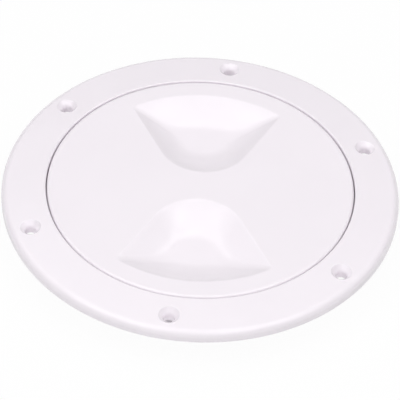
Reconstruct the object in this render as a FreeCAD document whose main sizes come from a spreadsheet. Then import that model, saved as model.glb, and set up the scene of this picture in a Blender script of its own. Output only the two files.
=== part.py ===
import FreeCAD, Part
import math
import os
import Sketcher
from FreeCAD import Vector

# Screw-in inspection plate for a boat's deck, in millimetres.
# The origin is on the plate's axis, in the plane of the deck that the flange lies on. +Z is up.
# The finger recesses of the closed lid lie along Y.

# Driving sizes: name, value and meaning. The sheet holds them, and every feature reads them there.
DRIVING_SIZES = (
    ("bore_diameter", 145.2, "inside of the spigot, at the thread's root"),
    ("spigot_wall", 3.4, "wall of the spigot, which fits a 152.4 mm hole in the deck"),
    ("spigot_depth", 17.0, "spigot below the deck's top"),
    ("spigot_chamfer", 1.2, "lead-in at the spigot's lower edge"),
    ("ledge_width", 4.35, "ledge for the seal, from the bore to the opening's wall"),
    ("flange_width", 22.05, "flange, from the opening to its outer edge"),
    ("rim_height", 6.0, "flange top above the deck, at the outer edge"),
    ("flange_rise", 1.5, "climb of the flange top from its edge to the lid"),
    ("rim_round", 2.2, "rounding of the outer edge"),
    ("mouth_bevel", 0.8, "bevel of the opening's edge"),
    ("opening_wall", 3.55, "wall between the opening and the hollow under the flange"),
    ("edge_wall", 3.7, "wall between that hollow and the flange's edge"),
    ("hollow_depth", 3.2, "depth of the hollow under the flange"),
    ("flange_rib_thickness", 2.0, "ribs across the hollow"),
    ("flange_rib_count", 12, "ribs around the hollow"),
    ("screw_count", 6, "fixing screws"),
    ("screw_inset", 10.3, "circle of the fixing screws, inside the flange's edge"),
    ("screw_hole_diameter", 5.2, "hole for one screw"),
    ("countersink_diameter", 10.2, "countersink at the flange's top"),
    ("countersink_angle", 90.0, "full angle of the countersink"),
    ("screw_web_width", 12.5, "solid web around each screw, across the hollow"),
    ("first_screw_angle", 83.5, "angle from X to the first screw"),
    ("lid_gap", 0.55, "gap between the lid's rim and the opening"),
    ("lid_rim_thickness", 2.4, "overhanging rim of the lid"),
    ("lid_bevel", 0.8, "bevel of the lid's edge"),
    ("lid_top_thickness", 3.0, "flat top of the lid"),
    ("neck_clearance", 0.3, "lid's neck inside the bore"),
    ("neck_pilot", 1.6, "depth that the neck enters the bore"),
    ("skirt_wall", 2.9, "wall that carries the lid's thread"),
    ("skirt_margin", 0.3, "skirt below the lid's thread"),
    ("lid_rib_thickness", 2.0, "ribs under the lid's top"),
    ("lid_rib_height", 5.0, "depth of those ribs"),
    ("lid_rib_spread", 31.0, "angle between neighbouring ribs"),
    ("join_overlap", 0.6, "part of a rib that lies inside the wall that carries it"),
    ("thread_lead", 8.0, "rise of the thread in one turn"),
    ("thread_start_count", 2, "ridges side by side"),
    ("thread_depth", 1.7, "height of a ridge"),
    ("thread_base", 2.5, "width of a ridge at its root"),
    ("thread_crest", 1.0, "width of a ridge at its crest"),
    ("thread_clearance", 0.4, "radial gap from crest to root"),
    ("thread_root_sink", 0.5, "root of a ridge inside the wall that carries it"),
    ("ring_thread_turns", 0.6, "turns of each ridge in the spigot"),
    ("ring_thread_top", 1.0, "top of the spigot's thread above the deck plane"),
    ("lid_thread_turns", 0.6, "turns of each ridge on the skirt"),
    ("seal_width", 3.4, "width of the flat seal"),
    ("seal_thickness", 1.8, "thickness of the flat seal"),
    ("seal_clearance", 0.15, "free space around the relaxed seal"),
    ("recess_margin", 10.3, "lid outside a finger recess"),
    ("recess_length", 56.5, "recess from its outer to its inner end"),
    ("recess_end_radius", 23.5, "rounding of the inner end at the lid's top"),
    ("recess_side_angle", 28.2, "slope of a recess's side from the recess's own axis"),
    ("recess_corner_radius", 2.5, "outer corners of a recess at the lid's top"),
    ("recess_floor_corner_radius", 5.0, "outer corners of a recess at its floor"),
    ("recess_depth", 7.0, "floor below the lid's top"),
    ("recess_outer_run", 19.0, "width of the outer wall's curve, seen from above"),
    ("recess_side_run", 16.5, "width of a side wall's curve"),
    ("recess_end_run", 22.0, "width of the inner end's curve"),
    ("recess_wall_ease", 0.5, "share of a wall's fall that starts level at its upper edge"),
    ("recess_wall", 2.6, "wall of a recess, seen from below"),
    ("recess_wall_spread", 0.8, "growth of that wall, seen from above"),
)

# Flats in which a rounded edge is drawn, and levels of each recess's surfaces.
RIM_FLATS = 2
LIP_FLATS = 1
SCOOP_LEVELS = 5
TUB_LEVELS = 3
TOLERANCE = 1e-4

document = FreeCAD.newDocument("DeckInspectionPlate")
sheet = document.addObject("Spreadsheet::Sheet", "Sizes")
for row, (name, value, meaning) in enumerate(DRIVING_SIZES, start=1):
    sheet.set(f"A{row}", name)
    sheet.set(f"B{row}", str(value))
    sheet.set(f"C{row}", meaning)
    sheet.setAlias(f"B{row}", name)
document.recompute()


def size(name):
    """Value of one driving size, read from the sheet."""
    return float(sheet.get(name))


# Expressions for the places that several pieces share.
BORE_RADIUS = "(Sizes.bore_diameter / 2)"
SPIGOT_RADIUS = f"({BORE_RADIUS} + Sizes.spigot_wall)"
MOUTH_RADIUS = f"({BORE_RADIUS} + Sizes.ledge_width)"
FLANGE_RADIUS = f"({MOUTH_RADIUS} + Sizes.flange_width)"
HOLLOW_INNER = f"({MOUTH_RADIUS} + Sizes.opening_wall)"
HOLLOW_OUTER = f"({FLANGE_RADIUS} - Sizes.edge_wall)"
SCREW_CIRCLE = f"({FLANGE_RADIUS} - Sizes.screw_inset)"
LID_RADIUS = f"({MOUTH_RADIUS} - Sizes.lid_gap)"
NECK_RADIUS = f"({BORE_RADIUS} - Sizes.neck_clearance)"
SKIRT_RADIUS = f"({BORE_RADIUS} - Sizes.thread_depth - Sizes.thread_clearance)"
SKIRT_INNER = f"({SKIRT_RADIUS} - Sizes.skirt_wall)"
SEAL_INNER = f"({NECK_RADIUS} + Sizes.seal_clearance)"
MOUTH_HEIGHT = "(Sizes.rim_height + Sizes.flange_rise)"
RIM_UNDERSIDE = f"({MOUTH_HEIGHT} - Sizes.lid_rim_thickness)"
LEDGE_HEIGHT = f"({RIM_UNDERSIDE} - Sizes.seal_thickness - 2 * Sizes.seal_clearance)"
NECK_BOTTOM = f"({LEDGE_HEIGHT} - Sizes.neck_pilot)"
TOP_UNDERSIDE = f"({MOUTH_HEIGHT} - Sizes.lid_top_thickness)"
THREAD_PITCH = "(Sizes.thread_lead / Sizes.thread_start_count)"
RING_THREAD_START = (
    "(Sizes.ring_thread_top - Sizes.thread_base / 2 - Sizes.ring_thread_turns * Sizes.thread_lead)"
)
LID_THREAD_START = f"({RING_THREAD_START} - {THREAD_PITCH} / 2)"
SKIRT_BOTTOM = f"({LID_THREAD_START} - Sizes.thread_base / 2 - Sizes.skirt_margin)"
RECESS_OUTER = f"({LID_RADIUS} - Sizes.recess_margin)"
RECESS_INNER = f"({RECESS_OUTER} - Sizes.recess_length)"


def value_of(expression):
    """Number that an expression gives with the sheet's sizes."""
    return float(sheet.evalExpression(str(expression)))


def origin_feature(body, role):
    """Plane or axis of a body's own origin."""
    return next(item for item in body.Origin.OriginFeatures if item.Role == role)


def new_sketch(body, name, role, height="0"):
    """Empty sketch on one of the body's origin planes, raised by an expression."""
    sketch = body.newObject("Sketcher::SketchObject", name)
    sketch.AttachmentSupport = [(origin_feature(body, role), "")]
    sketch.MapMode = "FlatFace"
    if height != "0":
        sketch.setExpression(".AttachmentOffset.Base.z", height)
    return sketch


def draw_polygon(sketch, corners):
    """Closed outline whose corners are each held by two expressions."""
    points = [Vector(value_of(across), value_of(up), 0) for across, up in corners]
    count = len(points)
    for index in range(count):
        sketch.addGeometry(Part.LineSegment(points[index], points[(index + 1) % count]), False)
    for index in range(count):
        sketch.addConstraint(Sketcher.Constraint("Coincident", index, 2, (index + 1) % count, 1))
    for index, (across, up) in enumerate(corners):
        for kind, expression, number in (
            ("DistanceX", across, points[index].x),
            ("DistanceY", up, points[index].y),
        ):
            held = sketch.addConstraint(Sketcher.Constraint(kind, -1, 1, index, 1, number))
            if abs(number) > TOLERANCE:
                sketch.setExpression(f"Constraints[{held}]", str(expression))


def draw_circle(sketch, across, up, diameter):
    """Circle whose centre and diameter are each held by an expression."""
    centre = Vector(value_of(across), value_of(up), 0)
    sketch.addGeometry(Part.Circle(centre, Vector(0, 0, 1), value_of(diameter) / 2), False)
    held = sketch.addConstraint(Sketcher.Constraint("DistanceX", -1, 1, 0, 3, centre.x))
    sketch.setExpression(f"Constraints[{held}]", across)
    held = sketch.addConstraint(Sketcher.Constraint("DistanceY", -1, 1, 0, 3, centre.y))
    sketch.setExpression(f"Constraints[{held}]", up)
    held = sketch.addConstraint(Sketcher.Constraint("Diameter", 0, value_of(diameter)))
    sketch.setExpression(f"Constraints[{held}]", diameter)


def rounded_edge(across, up, radius, flats, sign="-"):
    """Corners of an outline from its side to its top, with the edge between them rounded in flats.

    The sign is minus where the solid lies inside the side, and plus where it lies outside.
    """
    corners = []
    for flat in range(flats + 1):
        turned = 90 * flat / flats
        corners.append((
            f"({across} {sign} {radius} * (1 - cos({turned} deg)))",
            f"({up} - {radius} * (1 - sin({turned} deg)))",
        ))
    return corners


def revolve_profile(body, name, corners):
    """Solid of revolution about Z from an outline of radii and heights."""
    sketch = new_sketch(body, f"{name}Profile", "XZ_Plane")
    draw_polygon(sketch, corners)
    turned = body.newObject("PartDesign::Revolution", name)
    turned.Profile = sketch
    turned.ReferenceAxis = (sketch, ["V_Axis"])
    turned.Angle = 360
    document.recompute()
    return turned


def polar_pattern(body, name, feature, count):
    """Copies of a feature around the plate's axis."""
    pattern = body.newObject("PartDesign::PolarPattern", name)
    pattern.Originals = [feature]
    pattern.Axis = (origin_feature(body, "Z_Axis"), [""])
    pattern.Angle = 360
    pattern.setExpression("Occurrences", count)
    body.Tip = pattern
    document.recompute()
    return pattern


def thread_ridges(body, name, root_radius, inward, start, turns):
    """Ridges of the screw thread, swept up a right-hand helix and repeated for each start."""
    sign = "-" if inward else "+"
    back = "+" if inward else "-"
    root = f"({root_radius} {back} Sizes.thread_root_sink)"
    flare = "((Sizes.thread_base - Sizes.thread_crest) / Sizes.thread_depth * Sizes.thread_root_sink)"
    half_root = f"(Sizes.thread_base / 2 + {flare} / 2)"
    crest = f"({root_radius} {sign} Sizes.thread_depth)"
    sketch = new_sketch(body, f"{name}Profile", "XZ_Plane")
    draw_polygon(sketch, (
        (root, f"{start} - {half_root}"),
        (crest, f"{start} - Sizes.thread_crest / 2"),
        (crest, f"{start} + Sizes.thread_crest / 2"),
        (root, f"{start} + {half_root}"),
    ))
    ridge = body.newObject("PartDesign::AdditiveHelix", name)
    ridge.Profile = sketch
    ridge.ReferenceAxis = (sketch, ["V_Axis"])
    ridge.Mode = "pitch-turns-angle"
    ridge.setExpression("Pitch", "Sizes.thread_lead")
    ridge.setExpression("Turns", turns)
    document.recompute()
    return polar_pattern(body, f"{name}Starts", ridge, "Sizes.thread_start_count")


def rib_across_hollow(body, name, thickness, turned, count):
    """Rib across the hollow under the flange, and its copies around the ring."""
    sketch = new_sketch(body, f"{name}Outline", "XY_Plane")
    reach_in = f"{HOLLOW_INNER} - Sizes.join_overlap"
    reach_out = f"{HOLLOW_OUTER} + Sizes.join_overlap"
    draw_polygon(sketch, (
        (reach_in, f"-{thickness} / 2"),
        (reach_out, f"-{thickness} / 2"),
        (reach_out, f"{thickness} / 2"),
        (reach_in, f"{thickness} / 2"),
    ))
    sketch.setExpression(".AttachmentOffset.Rotation.Angle", turned)
    rib = body.newObject("PartDesign::Pad", name)
    rib.Profile = sketch
    rib.setExpression("Length", "Sizes.hollow_depth + Sizes.join_overlap")
    document.recompute()
    polar_pattern(body, f"{name}s", rib, count)


def build_deck_ring():
    """Flange with its screw holes and the ledge for the seal, and the threaded spigot below."""
    body = document.addObject("PartDesign::Body", "DeckRing")
    body.Label = "deck_ring"
    rim = rounded_edge(FLANGE_RADIUS, "Sizes.rim_height", "Sizes.rim_round", RIM_FLATS)
    lip = rounded_edge(MOUTH_RADIUS, MOUTH_HEIGHT, "Sizes.mouth_bevel", LIP_FLATS, "+")
    revolve_profile(body, "RingTurned", (
        (SPIGOT_RADIUS, "0"),
        (HOLLOW_INNER, "0"),
        (HOLLOW_INNER, "Sizes.hollow_depth"),
        (HOLLOW_OUTER, "Sizes.hollow_depth"),
        (HOLLOW_OUTER, "0"),
        (FLANGE_RADIUS, "0"),
        *rim,
        *reversed(lip),
        (MOUTH_RADIUS, LEDGE_HEIGHT),
        (BORE_RADIUS, LEDGE_HEIGHT),
        (BORE_RADIUS, "-Sizes.spigot_depth"),
        (f"{SPIGOT_RADIUS} - Sizes.spigot_chamfer", "-Sizes.spigot_depth"),
        (SPIGOT_RADIUS, "-Sizes.spigot_depth + Sizes.spigot_chamfer"),
    ))
    between_screws = "Sizes.first_screw_angle + 180 / Sizes.flange_rib_count"
    rib_across_hollow(body, "FlangeRib", "Sizes.flange_rib_thickness", between_screws, "Sizes.flange_rib_count")
    rib_across_hollow(body, "ScrewWeb", "Sizes.screw_web_width", "Sizes.first_screw_angle", "Sizes.screw_count")

    hole_sketch = new_sketch(body, "ScrewHoleCentre", "XY_Plane", MOUTH_HEIGHT)
    screw_across = f"{SCREW_CIRCLE} * cos(Sizes.first_screw_angle * 1 deg)"
    screw_up = f"{SCREW_CIRCLE} * sin(Sizes.first_screw_angle * 1 deg)"
    draw_circle(hole_sketch, screw_across, screw_up, "Sizes.screw_hole_diameter")
    document.recompute()
    hole = body.newObject("PartDesign::Hole", "ScrewHole")
    hole.Profile = hole_sketch
    document.recompute()
    hole.DepthType = "ThroughAll"
    hole.ThreadType = "None"
    hole.HoleCutType = "Countersink"
    hole.HoleCutCustomValues = True
    hole.setExpression("Diameter", "Sizes.screw_hole_diameter")
    drop = "(Sizes.flange_rise / Sizes.flange_width * (Sizes.flange_width - Sizes.screw_inset))"
    widening = f"(2 * {drop} * tan(Sizes.countersink_angle / 2 * 1 deg))"
    hole.setExpression("HoleCutDiameter", f"Sizes.countersink_diameter + {widening}")
    hole.setExpression("HoleCutCountersinkAngle", "Sizes.countersink_angle")
    document.recompute()
    polar_pattern(body, "ScrewHoles", hole, "Sizes.screw_count")

    thread_ridges(body, "RingThread", BORE_RADIUS, True, RING_THREAD_START,
                  "Sizes.ring_thread_turns")
    return body


def fan_outline(outer, inner, offset, corner, height):
    """Fan-shaped outline along +Y at one height: round inner end, straight sides and outer arc.

    outer is the outer arc's radius about the lid's axis, inner the distance of the inner end from
    that axis, offset the distance of a side's line from it, and corner the rounding of the outer
    corners, where 0 leaves them sharp.
    """
    slope = math.radians(size("recess_side_angle"))
    along = Vector(math.sin(slope), math.cos(slope), 0)
    outward = Vector(math.cos(slope), -math.sin(slope), 0)
    end_radius = (inner * math.sin(slope) + offset) / (1 - math.sin(slope))
    end_centre = Vector(0, inner + end_radius, 0)
    side_start = end_centre + outward * end_radius
    reach = math.sqrt((outer - corner) ** 2 - (offset - corner) ** 2)
    corner_centre = outward * (offset - corner) + along * reach
    side_end = corner_centre + outward * corner
    arc_end = corner_centre * (outer / (outer - corner))

    def mirrored(point):
        return Vector(-point.x, point.y, point.z)

    edges = [
        Part.Arc(mirrored(side_start), Vector(0, inner, 0), side_start).toShape(),
        Part.LineSegment(side_start, side_end).toShape(),
        Part.Arc(arc_end, Vector(0, outer, 0), mirrored(arc_end)).toShape(),
        Part.LineSegment(mirrored(side_end), mirrored(side_start)).toShape(),
    ]
    if corner:
        bulge = (side_end - corner_centre) + (arc_end - corner_centre)
        middle = corner_centre + bulge.normalize() * corner
        edges.insert(2, Part.Arc(side_end, middle, arc_end).toShape())
        edges.insert(4, Part.Arc(mirrored(arc_end), mirrored(middle), mirrored(side_end)).toShape())
    wire = Part.Wire(edges)
    wire.translate(Vector(0, 0, height))
    return wire


def recess_outline(share, growth, corner, lowered):
    """Outline of a recess at one share of its walls' fall, grown sideways and lowered."""
    slope = math.radians(size("recess_side_angle"))
    inner = value_of(RECESS_INNER)
    offset = size("recess_end_radius") * (1 - math.sin(slope)) - inner * math.sin(slope)
    eased = share * share * (3 - 2 * share)
    bowed = 1 - (1 - share) ** 2
    ease = size("recess_wall_ease")
    fall = (ease * eased + (1 - ease) * bowed) * size("recess_depth")
    return fan_outline(
        value_of(RECESS_OUTER) - share * size("recess_outer_run") + growth,
        inner + share * size("recess_end_run") - growth,
        offset - share * size("recess_side_run") + growth,
        corner,
        value_of(MOUTH_HEIGHT) - fall - lowered,
    )


def recess_scoop():
    """Hollow of a recess: a smooth bowl whose walls run out level at the floor."""
    outlines = []
    for level in range(SCOOP_LEVELS + 1):
        share = level / SCOOP_LEVELS
        corner_growth = size("recess_floor_corner_radius") - size("recess_corner_radius")
        corner = size("recess_corner_radius") + share * corner_growth
        outlines.append(recess_outline(share, 0, corner, 0))
    return Part.makeLoft(outlines, True, False, False, 2)


def recess_tub():
    """Underside of a recess, which follows the scoop in a few drafted steps."""
    outlines = []
    for level in range(TUB_LEVELS + 1):
        share = level / TUB_LEVELS
        outlines.append(recess_outline(share, size("recess_wall_spread"), 0, size("recess_wall")))
    return Part.makeLoft(outlines, True, True)


def both_sides(solid):
    """The recess and its twin across the lid."""
    twin = solid.copy()
    twin.rotate(Vector(0, 0, 0), Vector(0, 0, 1), 180)
    return Part.makeCompound([solid, twin])


def build_screw_lid():
    """Round lid with its threaded skirt, its ribs and the two finger recesses."""
    body = document.addObject("PartDesign::Body", "LidMoulding")
    revolve_profile(body, "LidTurned", (
        ("0", MOUTH_HEIGHT),
        ("0", TOP_UNDERSIDE),
        (SKIRT_INNER, TOP_UNDERSIDE),
        (SKIRT_INNER, SKIRT_BOTTOM),
        (SKIRT_RADIUS, SKIRT_BOTTOM),
        (SKIRT_RADIUS, NECK_BOTTOM),
        (NECK_RADIUS, NECK_BOTTOM),
        (NECK_RADIUS, RIM_UNDERSIDE),
        (LID_RADIUS, RIM_UNDERSIDE),
        *rounded_edge(LID_RADIUS, MOUTH_HEIGHT, "Sizes.lid_bevel", LIP_FLATS),
    ))

    for number in (-1, 0, 1):
        sketch = new_sketch(body, f"LidRibOutline{number + 2}", "XY_Plane",
                            f"{TOP_UNDERSIDE} - Sizes.lid_rib_height")
        reach = f"{SKIRT_INNER} + Sizes.join_overlap"
        half_rib = "Sizes.lid_rib_thickness / 2"
        draw_polygon(sketch, (
            (f"-({reach})", f"-{half_rib}"),
            (reach, f"-{half_rib}"),
            (reach, half_rib),
            (f"-({reach})", half_rib),
        ))
        sketch.setExpression(".AttachmentOffset.Rotation.Angle", f"{number} * Sizes.lid_rib_spread")
        rib = body.newObject("PartDesign::Pad", f"LidRib{number + 2}")
        rib.Profile = sketch
        rib.setExpression("Length", "Sizes.lid_rib_height + Sizes.join_overlap")
        document.recompute()

    thread_ridges(body, "LidThread", SKIRT_RADIUS, False, LID_THREAD_START, "Sizes.lid_thread_turns")

    tubs = document.addObject("Part::Feature", "RecessTubs")
    tubs.Shape = both_sides(recess_tub())
    scoops = document.addObject("Part::Feature", "RecessScoops")
    scoops.Shape = both_sides(recess_scoop())
    joined = document.addObject("Part::MultiFuse", "LidWithTubs")
    joined.Shapes = [body, tubs]
    joined.Refine = False
    document.recompute()
    lid = document.addObject("Part::Cut", "ScrewLid")
    lid.Label = "screw_lid"
    lid.Base = joined
    lid.Tool = scoops
    document.recompute()
    return lid


def build_seal_ring():
    """Flat rubber ring round the lid's neck, on the deck ring's ledge."""
    body = document.addObject("PartDesign::Body", "SealRing")
    body.Label = "seal_ring"
    outer = f"{SEAL_INNER} + Sizes.seal_width"
    bottom = f"{LEDGE_HEIGHT} + Sizes.seal_clearance"
    top = f"{RIM_UNDERSIDE} - Sizes.seal_clearance"
    revolve_profile(body, "SealTurned", ((SEAL_INNER, bottom), (outer, bottom), (outer, top), (SEAL_INNER, top)))
    return body


def check(pieces):
    """Stops the script if anything in the document failed or a piece isn't a sound solid."""
    for item in document.Objects:
        if "Invalid" in item.State or "Error" in item.State:
            raise RuntimeError(f"{item.Name} failed: {item.State}")
    for piece in pieces:
        shape = piece.Shape
        if shape.isNull() or not shape.isValid() or len(shape.Solids) != 1:
            raise RuntimeError(f"{piece.Label} is not one valid solid")


pieces = [build_deck_ring(), build_screw_lid(), build_seal_ring()]
document.recompute()
check(pieces)
os.makedirs("parts", exist_ok=True)
for piece in pieces:
    piece.Shape.exportStep(f"parts/{piece.Label}.step")
    box = piece.Shape.BoundBox
    print(f"{piece.Label}: volume {piece.Shape.Volume:.1f}, z {box.ZMin:.2f} to {box.ZMax:.2f}")
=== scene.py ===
import math

import bmesh
import bpy
from mathutils import Matrix, Vector


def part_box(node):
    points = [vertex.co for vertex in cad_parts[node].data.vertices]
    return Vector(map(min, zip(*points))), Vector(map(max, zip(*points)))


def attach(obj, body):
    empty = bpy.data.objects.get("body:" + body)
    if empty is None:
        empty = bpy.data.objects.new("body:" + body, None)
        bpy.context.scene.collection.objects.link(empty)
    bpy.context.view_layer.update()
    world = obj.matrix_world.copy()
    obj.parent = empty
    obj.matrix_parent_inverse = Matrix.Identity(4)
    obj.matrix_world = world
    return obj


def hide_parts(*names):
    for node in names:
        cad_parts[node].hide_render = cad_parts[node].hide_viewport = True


# A screw-in inspection plate for a boat's deck, in metres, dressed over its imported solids.
# The plate's axis is Z, and the deck's top is the plane z = 0.

MM = 0.001

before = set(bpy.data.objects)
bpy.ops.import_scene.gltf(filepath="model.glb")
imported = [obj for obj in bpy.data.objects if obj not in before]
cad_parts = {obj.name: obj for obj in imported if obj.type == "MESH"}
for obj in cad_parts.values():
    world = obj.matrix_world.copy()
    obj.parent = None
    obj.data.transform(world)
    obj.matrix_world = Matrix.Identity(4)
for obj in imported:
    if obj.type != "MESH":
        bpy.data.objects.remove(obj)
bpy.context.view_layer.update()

# Sizes that the solids give.
ring_low, ring_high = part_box("deck_ring")
lid_low, lid_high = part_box("screw_lid")
seal_low, seal_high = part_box("seal_ring")
FLANGE_RADIUS = ring_high[0]
SPIGOT_BOTTOM = ring_low[2]
TOP_HEIGHT = ring_high[2]
LID_RADIUS = lid_high[0]
SKIRT_BOTTOM = lid_low[2]

# Shared by the pieces. A cutter reaches a margin past what it cuts, and its brim climbs a little.
MOULDED_EDGE = 0.3 * MM
JOIN_OVERLAP = 0.6 * MM
CUTTER_MARGIN = 2.0 * MM
CUTTER_CLIMB = 0.03 * MM
MERGE_DISTANCE = 0.0005 * MM

# Seal.
SEAL_CLEARANCE = 0.15 * MM
SEAL_WIDTH = 3.4 * MM
SEAL_EDGE = 0.4 * MM

# Flange and spigot. The top is RIM_HEIGHT high where it is RIM_EDGE inside the flange's outer edge.
RIM_HEIGHT = 6.0 * MM
RIM_EDGE = 2.2 * MM
RIM_ROUND = 3.6 * MM
LID_GAP = 0.55 * MM
MOUTH_EDGE = 0.8 * MM
MOUTH_ROUND = 0.8 * MM
LEDGE_WIDTH = 4.35 * MM
SPIGOT_WALL = 3.4 * MM
SPIGOT_CHAMFER = 1.2 * MM
OPENING_WALL = 3.55 * MM
EDGE_WALL = 3.7 * MM
HOLLOW_DEPTH = 3.2 * MM
RIB_THICKNESS = 2.0 * MM
RIB_COUNT = 12
RIB_SETBACK = 0.1 * MM
MOUTH_RADIUS = LID_RADIUS + LID_GAP
BORE_RADIUS = MOUTH_RADIUS - LEDGE_WIDTH
SPIGOT_RADIUS = BORE_RADIUS + SPIGOT_WALL
LEDGE_HEIGHT = seal_low[2] - SEAL_CLEARANCE
HOLLOW_INNER = MOUTH_RADIUS + OPENING_WALL
HOLLOW_OUTER = FLANGE_RADIUS - EDGE_WALL
MOUTH_TOP_RADIUS = MOUTH_RADIUS + MOUTH_EDGE
FLANGE_SLOPE = (TOP_HEIGHT - RIM_HEIGHT) / (FLANGE_RADIUS - RIM_EDGE - MOUTH_TOP_RADIUS)

# Fixing screws.
SCREW_COUNT = 6
SCREW_INSET = 10.3 * MM
SCREW_HOLE_RADIUS = 2.6 * MM
COUNTERSINK_RADIUS = 5.1 * MM
COUNTERSINK_LIP = 0.3 * MM
SCREW_HOLE_ROUND = 3.0 * MM
SCREW_WEB_WIDTH = 12.5 * MM
FIRST_SCREW = math.radians(83.5)
SCREW_CIRCLE = FLANGE_RADIUS - SCREW_INSET

# Lid.
LID_ROUND = 1.3 * MM
LID_RIM_THICKNESS = 2.4 * MM
LID_TOP_THICKNESS = 3.0 * MM
NECK_CLEARANCE = 0.3 * MM
NECK_PILOT = 1.6 * MM
SKIRT_WALL = 2.9 * MM
LID_RIB_THICKNESS = 2.0 * MM
LID_RIB_HEIGHT = 5.0 * MM
LID_RIB_SPREAD = math.radians(31)
RIM_UNDERSIDE = TOP_HEIGHT - LID_RIM_THICKNESS
TOP_UNDERSIDE = TOP_HEIGHT - LID_TOP_THICKNESS
NECK_RADIUS = BORE_RADIUS - NECK_CLEARANCE
NECK_BOTTOM = LEDGE_HEIGHT - NECK_PILOT

# Screw thread.
THREAD_LEAD = 8.0 * MM
THREAD_STARTS = 2
THREAD_DEPTH = 1.7 * MM
THREAD_BASE = 2.5 * MM
THREAD_CREST = 1.0 * MM
THREAD_CLEARANCE = 0.4 * MM
THREAD_SINK = 0.5 * MM
THREAD_TURNS = 0.6
THREAD_TAPER_SHARE = 0.04
THREAD_END_SIZE = 0.4
RING_THREAD_TOP = 1.0 * MM
SKIRT_RADIUS = BORE_RADIUS - THREAD_DEPTH - THREAD_CLEARANCE
SKIRT_INNER = SKIRT_RADIUS - SKIRT_WALL

# Finger recesses. A run is how far a wall comes in sideways on its way down to the floor.
RECESS_COUNT = 2
RECESS_MARGIN = 10.3 * MM
RECESS_LENGTH = 56.5 * MM
RECESS_END_RADIUS = 23.5 * MM
RECESS_SIDE_ANGLE = math.radians(28.2)
RECESS_CORNER = 2.5 * MM
RECESS_FLOOR_CORNER = 5.0 * MM
RECESS_DEPTH = 7.0 * MM
RECESS_OUTER_RUN = 19.0 * MM
RECESS_SIDE_RUN = 16.5 * MM
RECESS_END_RUN = 22.0 * MM
# Share of a wall's fall that starts level at its upper edge, and of its run that the lip rounds.
RECESS_WALL_EASE = 0.5
RECESS_LIP_SHARE = 0.03
RECESS_WALL = 2.6 * MM
RECESS_WALL_SPREAD = 0.8 * MM
RECESS_OUTER = LID_RADIUS - RECESS_MARGIN
RECESS_INNER = RECESS_OUTER - RECESS_LENGTH
RECESS_SLANT = math.sin(RECESS_SIDE_ANGLE)
RECESS_SIDE_OFFSET = RECESS_END_RADIUS * (1 - RECESS_SLANT) - RECESS_INNER * RECESS_SLANT
LIP_CROSSING = 0.01 * MM

# Fineness of the meshes.
ROUND_SEGMENTS = 288
CORNER_STEPS = 5
SCOOP_LEVELS = 36
LIP_LEVELS = 8
TUB_LEVELS = 12
FAN_END_STEPS = 24
FAN_SIDE_STEPS = 16
FAN_CORNER_STEPS = 12
FAN_OUTER_STEPS = 28
HOLE_SEGMENTS = 72
THREAD_STEPS_PER_TURN = 144
SHARP_ANGLE = math.radians(35)
FLAT_FACE_WEIGHT = 80

# Surfaces.
RING_WHITE = (0.935, 0.885, 0.935, 1)
RING_SHADED_WHITE = (0.925, 0.875, 0.925, 1)
RING_CLOUD_SIZE = 30 * MM
LID_WHITE = (0.94, 0.89, 0.94, 1)
LID_SHADED_WHITE = (0.93, 0.88, 0.93, 1)
LID_CLOUD_SIZE = 35 * MM
PLASTIC_POLISHED = 0.16
PLASTIC_DULL = 0.27
PLASTIC_GRAIN_SIZE = 0.6 * MM
PLASTIC_GRAIN_HEIGHT = 0.004 * MM
PLASTIC_IOR = 1.5
RUBBER_BLACK = (0.018, 0.018, 0.02, 1)
RUBBER_SHADED_BLACK = (0.03, 0.03, 0.032, 1)
RUBBER_CLOUD_SIZE = 12 * MM
RUBBER_POLISHED = 0.5
RUBBER_DULL = 0.72
RUBBER_GRAIN_SIZE = 0.3 * MM
RUBBER_GRAIN_HEIGHT = 0.008 * MM
RUBBER_IOR = 1.52
CLOUD_DETAIL = 2.0
CLOUD_ROUGHNESS = 0.5
CLOUD_RANGE = (0.35, 0.65)
SMEARS_PER_CLOUD = 4.0
SMEAR_DETAIL = 5.0
SMEAR_ROUGHNESS = 0.65
SMEAR_RANGE = (0.35, 0.7)
GRAIN_DETAIL = 3.0
GRAIN_ROUGHNESS = 0.55

# Camera.
CAMERA_LENS = 250.63
SENSOR_WIDTH = 36.0
CAMERA_CLIP_START = 0.05
CAMERA_DISTANCE = 1.386
CAMERA_AZIMUTH = 1.5
CAMERA_ELEVATION = 44.67
CAMERA_ROLL = 2.48
CAMERA_TARGET_HEIGHT = 0.006
CAMERA_SLIDE = (-0.26 * MM, -6.26 * MM)

# Floor.
FLOOR_REACH = 4.0
FLOOR_COLOUR = (0.88, 0.88, 0.88)
FLOOR_ROUGHNESS = 0.9
FLOOR_WHITE_SHARE = 0.96

# Light. A softbox has a name, an azimuth and an elevation in degrees, a width, and a strength in watts.
ROOM_COLOUR = (1.0, 1.0, 1.0)
ROOM_STRENGTH = 0.2
SOFTBOX_DISTANCE = 2.0
WIDE_SOFTBOX = 1.5
SMALL_SOFTBOX = 0.634
SOFTBOXES = (
    ("front_left_softbox", 315, 60, WIDE_SOFTBOX, 12.4),
    ("front_right_softbox", 45, 60, WIDE_SOFTBOX, 11.2),
    ("front_low_softbox", 0, 30, WIDE_SOFTBOX, 4.2),
    ("left_softbox", 270, 60, WIDE_SOFTBOX, 4.9),
    ("right_softbox", 90, 60, WIDE_SOFTBOX, 2.9),
    ("overhead_softbox", 0, 90, SMALL_SOFTBOX, 1.2),
    ("overhead_right_softbox", 90, 72, SMALL_SOFTBOX, 0.95),
    ("back_softbox", 180, 72, SMALL_SOFTBOX, 2.1),
    ("back_right_softbox", 144, 58, SMALL_SOFTBOX, 1.9),
    ("back_left_softbox", 216, 58, SMALL_SOFTBOX, 2.0),
)


def arc_points(centre, radius, start, end, steps):
    """Points of a flat arc from one angle to another, both ends included."""
    points = []
    for step in range(steps + 1):
        angle = start + (end - start) * step / steps
        points.append(Vector((centre[0] + radius * math.cos(angle), centre[1] + radius * math.sin(angle))))
    return points


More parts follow.
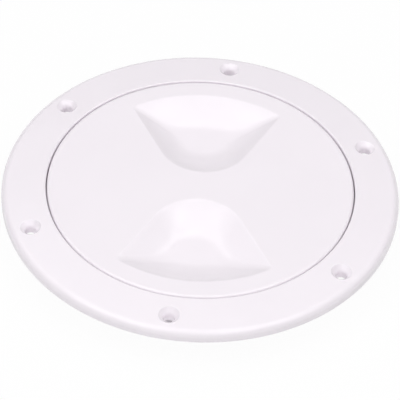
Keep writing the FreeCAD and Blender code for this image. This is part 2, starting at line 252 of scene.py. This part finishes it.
def rounded_outline(corners, closed):
    """Outline of radii and heights whose third number rounds each corner."""
    outline = []
    count = len(corners)
    for index, (across, up, rounding) in enumerate(corners):
        here = Vector((across, up))
        end_of_run = not closed and index in (0, count - 1)
        if end_of_run or not rounding:
            outline.append(here)
            continue
        before = Vector(corners[index - 1][:2]) - here
        after = Vector(corners[(index + 1) % count][:2]) - here
        half_angle = before.angle(after) / 2
        reach = rounding / math.tan(half_angle)
        start = here + before.normalized() * reach
        end = here + after.normalized() * reach
        bisector = (before.normalized() + after.normalized()).normalized()
        centre = here + bisector * rounding / math.sin(half_angle)
        sweep = (start - centre).angle_signed(end - centre)
        first = math.atan2(start.y - centre.y, start.x - centre.x)
        outline += arc_points(centre, rounding, first, first - sweep, CORNER_STEPS)
    return outline


def closed_mesh(name, loops, joined_ends):
    """Mesh over a row of equal loops, closed by a face at each end or by joining the ends."""
    mesh = bmesh.new()
    rows = [[mesh.verts.new(point) for point in loop] for loop in loops]
    pairs = list(zip(rows, rows[1:]))
    if joined_ends:
        pairs.append((rows[-1], rows[0]))
    for lower, upper in pairs:
        for index in range(len(lower)):
            following = (index + 1) % len(lower)
            mesh.faces.new((lower[index], lower[following], upper[following], upper[index]))
    if not joined_ends:
        mesh.faces.new(rows[0])
        mesh.faces.new(rows[-1])
    bmesh.ops.recalc_face_normals(mesh, faces=mesh.faces)
    data = bpy.data.meshes.new(name)
    mesh.to_mesh(data)
    mesh.free()
    piece = bpy.data.objects.new(name, data)
    bpy.context.scene.collection.objects.link(piece)
    return piece


def turned_piece(name, corners, closed, segments=ROUND_SEGMENTS):
    """Solid of revolution about the plate's axis. An open outline is closed by a disc at each end."""
    loops = []
    for point in rounded_outline(corners, closed):
        loop = []
        for segment in range(segments):
            angle = 2 * math.pi * segment / segments
            loop.append(Vector((point.x * math.cos(angle), point.x * math.sin(angle), point.y)))
        loops.append(loop)
    return closed_mesh(name, loops, joined_ends=closed)


def bar(name, start, end, thickness, low, high, turned=0.0):
    """Straight bar along X from one radius to another, then turned about the plate's axis."""
    half = thickness / 2
    loops = []
    for height in (low, high):
        corners = ((start, -half), (end, -half), (end, half), (start, half))
        loops.append([Vector((across, along, height)) for across, along in corners])
    piece = closed_mesh(name, loops, joined_ends=False)
    piece.data.transform(Matrix.Rotation(turned, 4, "Z"))
    return piece


def fan_outline(outer, inner, offset, corner, height):
    """Fan-shaped loop along +Y: round inner end, straight sides, rounded corners and outer arc.

    outer is the outer arc's radius about the lid's axis, inner the distance of the inner end from
    that axis, and offset the distance of a side's line from it.
    """
    slope = RECESS_SIDE_ANGLE
    along = Vector((math.sin(slope), math.cos(slope)))
    outward = Vector((math.cos(slope), -math.sin(slope)))
    end_radius = (inner * RECESS_SLANT + offset) / (1 - RECESS_SLANT)
    reach = math.sqrt((outer - corner) ** 2 - (offset - corner) ** 2)
    corner_centre = outward * (offset - corner) + along * reach
    turned = math.atan2(corner_centre.y, corner_centre.x)
    half = arc_points((0, inner + end_radius), end_radius, -math.pi / 2, -slope, FAN_END_STEPS)
    side_start = half[-1]
    side_end = corner_centre + outward * corner
    half += [side_start.lerp(side_end, step / FAN_SIDE_STEPS) for step in range(1, FAN_SIDE_STEPS)]
    half += arc_points(corner_centre, corner, -slope, turned, FAN_CORNER_STEPS)
    half += arc_points((0, 0), outer, turned, math.pi / 2, FAN_OUTER_STEPS)[1:]
    mirrored = [Vector((-point.x, point.y)) for point in reversed(half[1:-1])]
    return [Vector((point.x, point.y, height)) for point in half + mirrored]


def wall_fall(share):
    """Depth and slope of a recess's wall at a share of its run, 0 at the upper edge and 1 at the floor."""
    eased = share * share * (3 - 2 * share)
    bowed = 1 - (1 - share) ** 2
    fall = RECESS_WALL_EASE * eased + (1 - RECESS_WALL_EASE) * bowed
    slope = RECESS_WALL_EASE * 6 * share * (1 - share) + (1 - RECESS_WALL_EASE) * 2 * (1 - share)
    return fall * RECESS_DEPTH, slope * RECESS_DEPTH


def recess_loop(share, growth, corner, height):
    """Outline of a recess at one share of its walls' run, grown sideways."""
    return fan_outline(
        RECESS_OUTER - share * RECESS_OUTER_RUN + growth,
        RECESS_INNER + share * RECESS_END_RUN - growth,
        RECESS_SIDE_OFFSET - share * RECESS_SIDE_RUN + growth,
        corner,
        height,
    )


def recess_scoop():
    """Hollow of a recess as a closed cutter. A small rounded lip leads from the lid's top into it."""
    lip_end = RECESS_LIP_SHARE
    fall, slope = wall_fall(lip_end)
    lip_start = lip_end - 2 * fall / slope
    bend = slope / 2 / (lip_end - lip_start)
    shares = [lip_start + (lip_end - lip_start) * step / LIP_LEVELS for step in range(LIP_LEVELS)]
    falls = [bend * (share - lip_start) ** 2 for share in shares]
    falls[0] = -LIP_CROSSING
    for level in range(SCOOP_LEVELS + 1):
        shares.append(lip_end + (1 - lip_end) * level / SCOOP_LEVELS)
        falls.append(wall_fall(shares[-1])[0])
    shares.insert(0, lip_start)
    falls.insert(0, -LID_TOP_THICKNESS)
    loops = []
    for share, fall in zip(shares, falls):
        corner = RECESS_CORNER + share * (RECESS_FLOOR_CORNER - RECESS_CORNER)
        loops.append(recess_loop(share, 0, corner, TOP_HEIGHT - fall))
    return closed_mesh("recess_scoop", loops, joined_ends=False)


def recess_tub():
    """Underside of a recess as a closed solid, a wall outside the scoop."""
    loops = []
    for level in range(TUB_LEVELS + 1):
        share = level / TUB_LEVELS
        height = TOP_HEIGHT - RECESS_WALL - wall_fall(share)[0]
        loops.append(recess_loop(share, RECESS_WALL_SPREAD, MOULDED_EDGE, height))
    return closed_mesh("recess_tub", loops, joined_ends=False)


def node_tree(name, inputs):
    """Geometry node group with a geometry and a material input, the named sizes and one output."""
    tree = bpy.data.node_groups.new(name, "GeometryNodeTree")
    tree.interface.new_socket("Geometry", in_out="INPUT", socket_type="NodeSocketGeometry")
    tree.interface.new_socket("Material", in_out="INPUT", socket_type="NodeSocketMaterial")
    for label, kind in inputs:
        tree.interface.new_socket(label, in_out="INPUT", socket_type=kind)
    tree.interface.new_socket("Geometry", in_out="OUTPUT", socket_type="NodeSocketGeometry")
    return tree, tree.nodes.new("NodeGroupInput"), tree.nodes.new("NodeGroupOutput")


def added(tree, kind, links=(), **settings):
    """New node with its settings, and its named inputs linked or set."""
    node = tree.nodes.new(kind)
    for name, value in settings.items():
        setattr(node, name, value)
    for socket, source in dict(links).items():
        if isinstance(source, bpy.types.NodeSocket):
            tree.links.new(source, node.inputs[socket])
        else:
            node.inputs[socket].default_value = source
    return node


def present(tree, kind):
    """The node of one type that a new material or world already has."""
    return next(node for node in tree.nodes if node.type == kind)


def calculated(tree, operation, first, second):
    """Output of a math node on two sockets or numbers."""
    return added(tree, "ShaderNodeMath", {0: first, 1: second}, operation=operation).outputs[0]


def copies_tree():
    """Tree that repeats its geometry around the plate's axis."""
    tree, given, result = node_tree("copies_round_axis", (
        ("Count", "NodeSocketInt"),
        ("First angle", "NodeSocketFloat"),
    ))
    points = added(tree, "GeometryNodePoints", {"Count": given.outputs["Count"]})
    index = added(tree, "GeometryNodeInputIndex").outputs["Index"]
    step = calculated(tree, "DIVIDE", 2 * math.pi, given.outputs["Count"])
    turned = calculated(tree, "MULTIPLY", index, step)
    turned = calculated(tree, "ADD", turned, given.outputs["First angle"])
    rotation = added(tree, "ShaderNodeCombineXYZ", {"Z": turned})
    copies = added(tree, "GeometryNodeInstanceOnPoints", {
        "Points": points.outputs[0],
        "Instance": given.outputs["Geometry"],
        "Rotation": rotation.outputs[0],
    })
    finish_tree(tree, given, result, copies.outputs["Instances"])
    return tree


def finish_tree(tree, given, result, geometry):
    """Ends a tree with real geometry that carries the given material."""
    real = added(tree, "GeometryNodeRealizeInstances", {"Geometry": geometry})
    painted = added(tree, "GeometryNodeSetMaterial", {
        "Geometry": real.outputs["Geometry"],
        "Material": given.outputs["Material"],
    })
    tree.links.new(painted.outputs["Geometry"], result.inputs["Geometry"])


def ridge_tree():
    """Tree that sweeps one ridge of the screw thread up a right-hand helix, with tapered ends."""
    tree, given, result = node_tree("thread_ridge", (
        ("Root radius", "NodeSocketFloat"),
        ("Crest radius", "NodeSocketFloat"),
        ("Root width", "NodeSocketFloat"),
        ("Crest width", "NodeSocketFloat"),
        ("Turns", "NodeSocketFloat"),
        ("Rise", "NodeSocketFloat"),
        ("Start height", "NodeSocketFloat"),
        ("Taper share", "NodeSocketFloat"),
        ("End size", "NodeSocketFloat"),
        ("Steps per turn", "NodeSocketInt"),
    ))
    helix = added(tree, "GeometryNodeCurveSpiral", {
        "Resolution": given.outputs["Steps per turn"],
        "Rotations": given.outputs["Turns"],
        "Start Radius": given.outputs["Root radius"],
        "End Radius": given.outputs["Root radius"],
        "Height": given.outputs["Rise"],
        "Reverse": True,
    })
    upright = added(tree, "GeometryNodeSetCurveNormal", {"Curve": helix.outputs["Curve"]}, mode="Z_UP")
    depth = calculated(tree, "SUBTRACT", given.outputs["Crest radius"], given.outputs["Root radius"])
    corners = {}
    for number, (across, width, side) in enumerate((
        (0.0, "Root width", -0.5),
        (depth, "Crest width", -0.5),
        (depth, "Crest width", 0.5),
        (0.0, "Root width", 0.5),
    ), start=1):
        height = calculated(tree, "MULTIPLY", given.outputs[width], side)
        corner = added(tree, "ShaderNodeCombineXYZ", {"X": across, "Y": height})
        corners[f"Point {number}"] = corner.outputs[0]
    section = added(tree, "GeometryNodeCurvePrimitiveQuadrilateral", corners, mode="POINTS")
    along = added(tree, "GeometryNodeSplineParameter").outputs["Factor"]
    nearer_end = calculated(tree, "MINIMUM", along, calculated(tree, "SUBTRACT", 1.0, along))
    taper = calculated(tree, "DIVIDE", nearer_end, given.outputs["Taper share"])
    taper = calculated(tree, "MINIMUM", 1.0, calculated(tree, "ADD", taper, given.outputs["End size"]))
    ridge = added(tree, "GeometryNodeCurveToMesh", {
        "Curve": upright.outputs[0],
        "Profile Curve": section.outputs["Curve"],
        "Scale": taper,
        "Fill Caps": True,
    })
    lift = added(tree, "ShaderNodeCombineXYZ", {"Z": given.outputs["Start height"]})
    placed = added(tree, "GeometryNodeTransform", {
        "Geometry": ridge.outputs["Mesh"],
        "Translation": lift.outputs[0],
    })
    finish_tree(tree, given, result, placed.outputs["Geometry"])
    return tree


def grown(piece, tree, material, sizes):
    """Plain piece in which a node tree has replaced the mesh."""
    modifier = piece.modifiers.new(tree.name, "NODES")
    modifier.node_group = tree
    for socket in tree.interface.items_tree:
        if socket.in_out == "INPUT" and socket.name in sizes:
            modifier[socket.identifier] = sizes[socket.name]
        if socket.in_out == "INPUT" and socket.name == "Material":
            modifier[socket.identifier] = material
    return made_plain(piece)


def made_plain(piece):
    """Applies a piece's modifiers by taking its evaluated mesh."""
    bpy.context.view_layer.update()
    evaluated = piece.evaluated_get(bpy.context.evaluated_depsgraph_get())
    data = bpy.data.meshes.new_from_object(evaluated)
    piece.modifiers.clear()
    piece.data = data
    return piece


def joined_and_cut(piece, joined, cutters):
    """Fuses solids to a piece, takes cutters from it, and deletes the solids that were used."""
    steps = [(solid, "UNION") for solid in joined] + [(solid, "DIFFERENCE") for solid in cutters]
    for solid, operation in steps:
        modifier = piece.modifiers.new(operation.lower(), "BOOLEAN")
        modifier.operation = operation
        modifier.object = solid
        modifier.solver = "EXACT"
    made_plain(piece)
    for solid in (*joined, *cutters):
        bpy.data.objects.remove(solid)
    return piece


def smoothed(piece):
    """Shades the curved faces smooth, and keeps the flat faces flat up to their edges."""
    data = piece.data
    data.shade_smooth()
    data.set_sharp_from_angle(angle=SHARP_ANGLE)
    weighted = piece.modifiers.new("weighted_normals", "WEIGHTED_NORMAL")
    weighted.keep_sharp = True
    weighted.weight = FLAT_FACE_WEIGHT
    return made_plain(piece)


def thread(name, wall_radius, inward, start_height, trees, material):
    """Both ridges of a thread on a wall of the given radius."""
    flare = (THREAD_BASE - THREAD_CREST) / THREAD_DEPTH * THREAD_SINK
    root_width = THREAD_BASE + flare
    root = wall_radius + THREAD_SINK if inward else wall_radius - THREAD_SINK
    crest = wall_radius - THREAD_DEPTH if inward else wall_radius + THREAD_DEPTH
    ridge = empty_piece(name)
    grown(ridge, trees["ridge"], material, {
        "Root radius": root,
        "Crest radius": crest,
        "Root width": root_width,
        "Crest width": THREAD_CREST,
        "Turns": THREAD_TURNS,
        "Rise": THREAD_TURNS * THREAD_LEAD,
        "Start height": start_height,
        "Taper share": THREAD_TAPER_SHARE,
        "End size": THREAD_END_SIZE,
        "Steps per turn": THREAD_STEPS_PER_TURN,
    })
    grown(ridge, trees["copies"], material, {"Count": THREAD_STARTS, "First angle": 0.0})
    return faced_outwards(ridge)


def empty_piece(name):
    """Object with an empty mesh, for a node tree to fill."""
    piece = bpy.data.objects.new(name, bpy.data.meshes.new(name))
    bpy.context.scene.collection.objects.link(piece)
    return piece


def faced_outwards(piece):
    """Merges doubled points and turns every face outwards."""
    mesh = bmesh.new()
    mesh.from_mesh(piece.data)
    bmesh.ops.remove_doubles(mesh, verts=mesh.verts, dist=MERGE_DISTANCE)
    bmesh.ops.recalc_face_normals(mesh, faces=mesh.faces)
    mesh.to_mesh(piece.data)
    mesh.free()
    return piece


def screw_hole_cutter():
    """Cutter for one screw hole, on the X axis: clear hole, countersink and rounded lip.

    Its upper part leans with the flange's slope.
    """
    surface = TOP_HEIGHT - FLANGE_SLOPE * (SCREW_CIRCLE - MOUTH_TOP_RADIUS)
    cone_bottom = surface - (COUNTERSINK_RADIUS - SCREW_HOLE_RADIUS)
    cutter = turned_piece("screw_hole_cutter", (
        (SCREW_HOLE_RADIUS, -CUTTER_MARGIN, 0),
        (SCREW_HOLE_RADIUS, cone_bottom, SCREW_HOLE_ROUND),
        (COUNTERSINK_RADIUS, surface, COUNTERSINK_LIP),
        (COUNTERSINK_RADIUS + CUTTER_MARGIN, surface + CUTTER_CLIMB, 0),
        (COUNTERSINK_RADIUS + CUTTER_MARGIN, surface + CUTTER_MARGIN, 0),
    ), closed=False, segments=HOLE_SEGMENTS)
    for vertex in cutter.data.vertices:
        vertex.co.x += SCREW_CIRCLE
        share = max(0, (vertex.co.z - cone_bottom) / (surface - cone_bottom))
        lower = FLANGE_SLOPE * (math.hypot(vertex.co.x, vertex.co.y) - SCREW_CIRCLE)
        vertex.co.z -= lower * min(share, 1)
    return cutter


def build_deck_ring(trees, material):
    """Flange with its ribs, webs and screw holes, and the threaded spigot below."""
    ring = turned_piece("flange_and_spigot", (
        (SPIGOT_RADIUS, 0, MOULDED_EDGE),
        (HOLLOW_INNER, 0, MOULDED_EDGE),
        (HOLLOW_INNER, HOLLOW_DEPTH, MOULDED_EDGE),
        (HOLLOW_OUTER, HOLLOW_DEPTH, MOULDED_EDGE),
        (HOLLOW_OUTER, 0, MOULDED_EDGE),
        (FLANGE_RADIUS, 0, MOULDED_EDGE),
        (FLANGE_RADIUS, RIM_HEIGHT - FLANGE_SLOPE * RIM_EDGE, RIM_ROUND),
        (MOUTH_RADIUS, TOP_HEIGHT + FLANGE_SLOPE * MOUTH_EDGE, MOUTH_ROUND),
        (MOUTH_RADIUS, LEDGE_HEIGHT, MOULDED_EDGE),
        (BORE_RADIUS, LEDGE_HEIGHT, MOULDED_EDGE),
        (BORE_RADIUS, SPIGOT_BOTTOM, MOULDED_EDGE),
        (SPIGOT_RADIUS - SPIGOT_CHAMFER, SPIGOT_BOTTOM, MOULDED_EDGE),
        (SPIGOT_RADIUS, SPIGOT_BOTTOM + SPIGOT_CHAMFER, MOULDED_EDGE),
    ), closed=True)
    reach_in = HOLLOW_INNER - JOIN_OVERLAP
    reach_out = HOLLOW_OUTER + JOIN_OVERLAP
    top = HOLLOW_DEPTH + JOIN_OVERLAP
    ribs = bar("flange_ribs", reach_in, reach_out, RIB_THICKNESS, RIB_SETBACK, top)
    between_screws = FIRST_SCREW + math.pi / RIB_COUNT
    grown(ribs, trees["copies"], material, {"Count": RIB_COUNT, "First angle": between_screws})
    webs = bar("screw_webs", reach_in, reach_out, SCREW_WEB_WIDTH, RIB_SETBACK, top)
    grown(webs, trees["copies"], material, {"Count": SCREW_COUNT, "First angle": FIRST_SCREW})
    holes = screw_hole_cutter()
    grown(holes, trees["copies"], material, {"Count": SCREW_COUNT, "First angle": FIRST_SCREW})
    start = RING_THREAD_TOP - THREAD_BASE / 2 - THREAD_TURNS * THREAD_LEAD
    ridges = thread("spigot_thread", BORE_RADIUS, True, start, trees, material)
    return smoothed(joined_and_cut(ring, (ribs, webs, ridges), (holes,)))


def build_screw_lid(trees, material):
    """Round lid with its threaded skirt, its ribs and the two finger recesses."""
    lid = turned_piece("screw_in_lid", (
        (LID_RADIUS - 2 * LID_ROUND, TOP_HEIGHT, 0),
        (LID_RADIUS, TOP_HEIGHT, LID_ROUND),
        (LID_RADIUS, RIM_UNDERSIDE, MOULDED_EDGE),
        (NECK_RADIUS, RIM_UNDERSIDE, MOULDED_EDGE),
        (NECK_RADIUS, NECK_BOTTOM, MOULDED_EDGE),
        (SKIRT_RADIUS, NECK_BOTTOM, MOULDED_EDGE),
        (SKIRT_RADIUS, SKIRT_BOTTOM, MOULDED_EDGE),
        (SKIRT_INNER, SKIRT_BOTTOM, MOULDED_EDGE),
        (SKIRT_INNER, TOP_UNDERSIDE, MOULDED_EDGE),
        (SKIRT_INNER - 2 * MOULDED_EDGE, TOP_UNDERSIDE, 0),
    ), closed=False)
    joined = []
    reach = SKIRT_INNER + JOIN_OVERLAP
    for number in (-1, 0, 1):
        joined.append(bar(
            f"lid_rib_{number + 2}", -reach, reach, LID_RIB_THICKNESS,
            TOP_UNDERSIDE - LID_RIB_HEIGHT, TOP_UNDERSIDE + JOIN_OVERLAP, number * LID_RIB_SPREAD,
        ))
    start = RING_THREAD_TOP - THREAD_BASE / 2 - THREAD_TURNS * THREAD_LEAD - THREAD_LEAD / THREAD_STARTS / 2
    joined.append(thread("skirt_thread", SKIRT_RADIUS, False, start, trees, material))
    tubs = recess_tub()
    grown(tubs, trees["copies"], material, {"Count": RECESS_COUNT, "First angle": 0.0})
    scoops = recess_scoop()
    grown(scoops, trees["copies"], material, {"Count": RECESS_COUNT, "First angle": 0.0})
    return smoothed(joined_and_cut(lid, joined + [tubs], (scoops,)))


def build_seal_ring():
    """Flat rubber ring between the lid's rim and the ledge."""
    inner = NECK_RADIUS + SEAL_CLEARANCE
    outer = inner + SEAL_WIDTH
    bottom, top = seal_low[2], seal_high[2]
    return smoothed(turned_piece("flat_seal", (
        (inner, bottom, SEAL_EDGE),
        (outer, bottom, SEAL_EDGE),
        (outer, top, SEAL_EDGE),
        (inner, top, SEAL_EDGE),
    ), closed=True))


def plastic_grain_group():
    """Shader group for moulded plastic and rubber: faint clouding, uneven gloss and a fine grain."""
    group = bpy.data.node_groups.new("moulded_plastic_surface", "ShaderNodeTree")
    for name, kind in (
        ("Colour", "NodeSocketColor"),
        ("Shaded colour", "NodeSocketColor"),
        ("Cloud size", "NodeSocketFloat"),
        ("Polished", "NodeSocketFloat"),
        ("Dull", "NodeSocketFloat"),
        ("Grain size", "NodeSocketFloat"),
    ):
        group.interface.new_socket(name, in_out="INPUT", socket_type=kind)
    for name, kind in (
        ("Colour", "NodeSocketColor"),
        ("Roughness", "NodeSocketFloat"),
        ("Height", "NodeSocketFloat"),
    ):
        group.interface.new_socket(name, in_out="OUTPUT", socket_type=kind)
    given, result = group.nodes.new("NodeGroupInput"), group.nodes.new("NodeGroupOutput")
    place = added(group, "ShaderNodeTexCoord").outputs["Object"]
    one_over_cloud = calculated(group, "DIVIDE", 1.0, given.outputs["Cloud size"])
    cloud = added(group, "ShaderNodeTexNoise", {
        "Vector": place, "Scale": one_over_cloud, "Detail": CLOUD_DETAIL, "Roughness": CLOUD_ROUGHNESS,
    })
    tint = added(group, "ShaderNodeMapRange", {
        "Value": cloud.outputs["Fac"], "From Min": CLOUD_RANGE[0], "From Max": CLOUD_RANGE[1],
    })
    # Inputs 6 and 7 are the two colours of a Mix node, which share their names with other inputs.
    colour = added(group, "ShaderNodeMix", {
        0: tint.outputs[0], 6: given.outputs["Colour"], 7: given.outputs["Shaded colour"],
    }, data_type="RGBA")
    smear_scale = calculated(group, "MULTIPLY", one_over_cloud, SMEARS_PER_CLOUD)
    smear = added(group, "ShaderNodeTexNoise", {
        "Vector": place, "Scale": smear_scale, "Detail": SMEAR_DETAIL, "Roughness": SMEAR_ROUGHNESS,
    })
    gloss = added(group, "ShaderNodeMapRange", {
        "Value": smear.outputs["Fac"], "From Min": SMEAR_RANGE[0], "From Max": SMEAR_RANGE[1],
        "To Min": given.outputs["Polished"], "To Max": given.outputs["Dull"],
    })
    grain_scale = calculated(group, "DIVIDE", 1.0, given.outputs["Grain size"])
    grain = added(group, "ShaderNodeTexNoise", {
        "Vector": place, "Scale": grain_scale, "Detail": GRAIN_DETAIL, "Roughness": GRAIN_ROUGHNESS,
    })
    group.links.new(colour.outputs[2], result.inputs["Colour"])
    group.links.new(gloss.outputs[0], result.inputs["Roughness"])
    group.links.new(grain.outputs["Fac"], result.inputs["Height"])
    return group


def moulded_material(name, group, ior, grain_height, surface_values):
    """Material whose colour, roughness and grain come from the shared group."""
    material = bpy.data.materials.new(name)
    material.use_nodes = True
    tree = material.node_tree
    shader = present(tree, "BSDF_PRINCIPLED")
    surface = added(tree, "ShaderNodeGroup", node_tree=group)
    for socket, value in surface_values.items():
        surface.inputs[socket].default_value = value
    bump = added(tree, "ShaderNodeBump", {
        "Height": surface.outputs["Height"], "Distance": grain_height, "Strength": 1.0,
    })
    tree.links.new(surface.outputs["Colour"], shader.inputs["Base Color"])
    tree.links.new(surface.outputs["Roughness"], shader.inputs["Roughness"])
    tree.links.new(bump.outputs["Normal"], shader.inputs["Normal"])
    shader.inputs["IOR"].default_value = ior
    return material


def white_plastic(name, group, colour, shaded_colour, cloud_size):
    """Glossy white moulded plastic."""
    return moulded_material(name, group, PLASTIC_IOR, PLASTIC_GRAIN_HEIGHT, {
        "Colour": colour,
        "Shaded colour": shaded_colour,
        "Cloud size": cloud_size,
        "Polished": PLASTIC_POLISHED,
        "Dull": PLASTIC_DULL,
        "Grain size": PLASTIC_GRAIN_SIZE,
    })


def black_rubber(name, group):
    """Smooth, dull black rubber."""
    return moulded_material(name, group, RUBBER_IOR, RUBBER_GRAIN_HEIGHT, {
        "Colour": RUBBER_BLACK,
        "Shaded colour": RUBBER_SHADED_BLACK,
        "Cloud size": RUBBER_CLOUD_SIZE,
        "Polished": RUBBER_POLISHED,
        "Dull": RUBBER_DULL,
        "Grain size": RUBBER_GRAIN_SIZE,
    })


def floor_material():
    """Pale floor that is white to camera, reflection and transmission rays but for a share of shadow.

    From below it is clear, so that the plate's underside can be looked at.
    """
    material = bpy.data.materials.new("pale_floor")
    material.use_nodes = True
    tree = material.node_tree
    shader = present(tree, "BSDF_PRINCIPLED")
    output = present(tree, "OUTPUT_MATERIAL")
    shader.inputs["Base Color"].default_value = (*FLOOR_COLOUR, 1)
    shader.inputs["Roughness"].default_value = FLOOR_ROUGHNESS
    shader.inputs["Specular IOR Level"].default_value = 0.0
    white = added(tree, "ShaderNodeEmission", {"Color": (1, 1, 1, 1), "Strength": 1.0})
    path = added(tree, "ShaderNodeLightPath").outputs
    seen = calculated(tree, "MAXIMUM", path["Is Camera Ray"], path["Is Glossy Ray"])
    seen = calculated(tree, "MAXIMUM", seen, path["Is Transmission Ray"])
    share = calculated(tree, "MULTIPLY", seen, FLOOR_WHITE_SHARE)
    mixed = added(tree, "ShaderNodeMixShader", {0: share, 1: shader.outputs[0], 2: white.outputs[0]})
    clear = added(tree, "ShaderNodeBsdfTransparent")
    from_below = added(tree, "ShaderNodeNewGeometry").outputs["Backfacing"]
    sided = added(tree, "ShaderNodeMixShader", {0: from_below, 1: mixed.outputs[0], 2: clear.outputs[0]})
    tree.links.new(sided.outputs[0], output.inputs["Surface"])
    return material


def build_floor():
    """Flat floor under the spigot."""
    mesh = bmesh.new()
    bmesh.ops.create_grid(mesh, x_segments=1, y_segments=1, size=FLOOR_REACH)
    data = bpy.data.meshes.new("floor")
    mesh.to_mesh(data)
    mesh.free()
    data.transform(Matrix.Translation((0, 0, SPIGOT_BOTTOM)))
    floor = bpy.data.objects.new("floor", data)
    bpy.context.scene.collection.objects.link(floor)
    data.materials.append(floor_material())


def direction(azimuth, elevation):
    """Unit vector away from the plate. In degrees, azimuth 0 is the near side and 90 the right."""
    turned, lifted = math.radians(azimuth), math.radians(elevation)
    across = math.cos(lifted)
    return Vector((math.sin(turned) * across, -math.cos(turned) * across, math.sin(lifted)))


def build_camera():
    """Camera fitted to the rim, the lid's gap and the screw holes."""
    data = bpy.data.cameras.new("camera")
    data.lens = CAMERA_LENS
    data.sensor_width = SENSOR_WIDTH
    data.clip_start = CAMERA_CLIP_START
    camera = bpy.data.objects.new("camera", data)
    bpy.context.scene.collection.objects.link(camera)
    turned = math.radians(CAMERA_AZIMUTH)
    back = direction(CAMERA_AZIMUTH, CAMERA_ELEVATION)
    level = Vector((math.cos(turned), math.sin(turned), 0))
    upright = back.cross(level)
    roll = math.radians(CAMERA_ROLL)
    right = math.cos(roll) * level + math.sin(roll) * upright
    up = math.cos(roll) * upright - math.sin(roll) * level
    target = Vector((0, 0, CAMERA_TARGET_HEIGHT))
    place = target + back * CAMERA_DISTANCE + right * CAMERA_SLIDE[0] + up * CAMERA_SLIDE[1]
    axes = Matrix((right, up, back)).transposed().to_4x4()
    camera.matrix_world = Matrix.Translation(place) @ axes
    bpy.context.scene.camera = camera


def softbox(name, azimuth, elevation, width, strength):
    """Square lamp that faces the plate."""
    data = bpy.data.lights.new(name, "AREA")
    data.shape = "SQUARE"
    data.size = width
    data.energy = strength
    lamp = bpy.data.objects.new(name, data)
    bpy.context.scene.collection.objects.link(lamp)
    away = direction(azimuth, elevation)
    facing = away.to_track_quat("Z", "Y").to_matrix().to_4x4()
    lamp.matrix_world = Matrix.Translation(away * SOFTBOX_DISTANCE) @ facing


def build_lights():
    """Soft studio light: a pale room and square lamps round the plate."""
    world = bpy.data.worlds.new("studio")
    world.use_nodes = True
    background = present(world.node_tree, "BACKGROUND")
    background.inputs["Color"].default_value = (*ROOM_COLOUR, 1)
    background.inputs["Strength"].default_value = ROOM_STRENGTH
    bpy.context.scene.world = world
    for lamp in SOFTBOXES:
        softbox(*lamp)


bpy.context.scene.view_settings.view_transform = "Standard"
plastic_surface = plastic_grain_group()
ring_plastic = white_plastic(
    "glossy_white_ring", plastic_surface, RING_WHITE, RING_SHADED_WHITE, RING_CLOUD_SIZE,
)
lid_plastic = white_plastic(
    "glossy_white_lid", plastic_surface, LID_WHITE, LID_SHADED_WHITE, LID_CLOUD_SIZE,
)
seal_rubber = black_rubber("black_rubber", plastic_surface)

trees = {"copies": copies_tree(), "ridge": ridge_tree()}
for piece, node, body, slot, material in (
    (build_deck_ring(trees, ring_plastic), "deck_ring", "ring", "ring_plastic", ring_plastic),
    (build_screw_lid(trees, lid_plastic), "screw_lid", "lid", "lid_plastic", lid_plastic),
    (build_seal_ring(), "seal_ring", "seal", "seal_rubber", seal_rubber),
):
    piece.data.materials.clear()
    piece.data.materials.append(material)
    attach(piece, body)
    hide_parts(node)

build_floor()
build_camera()
build_lights()
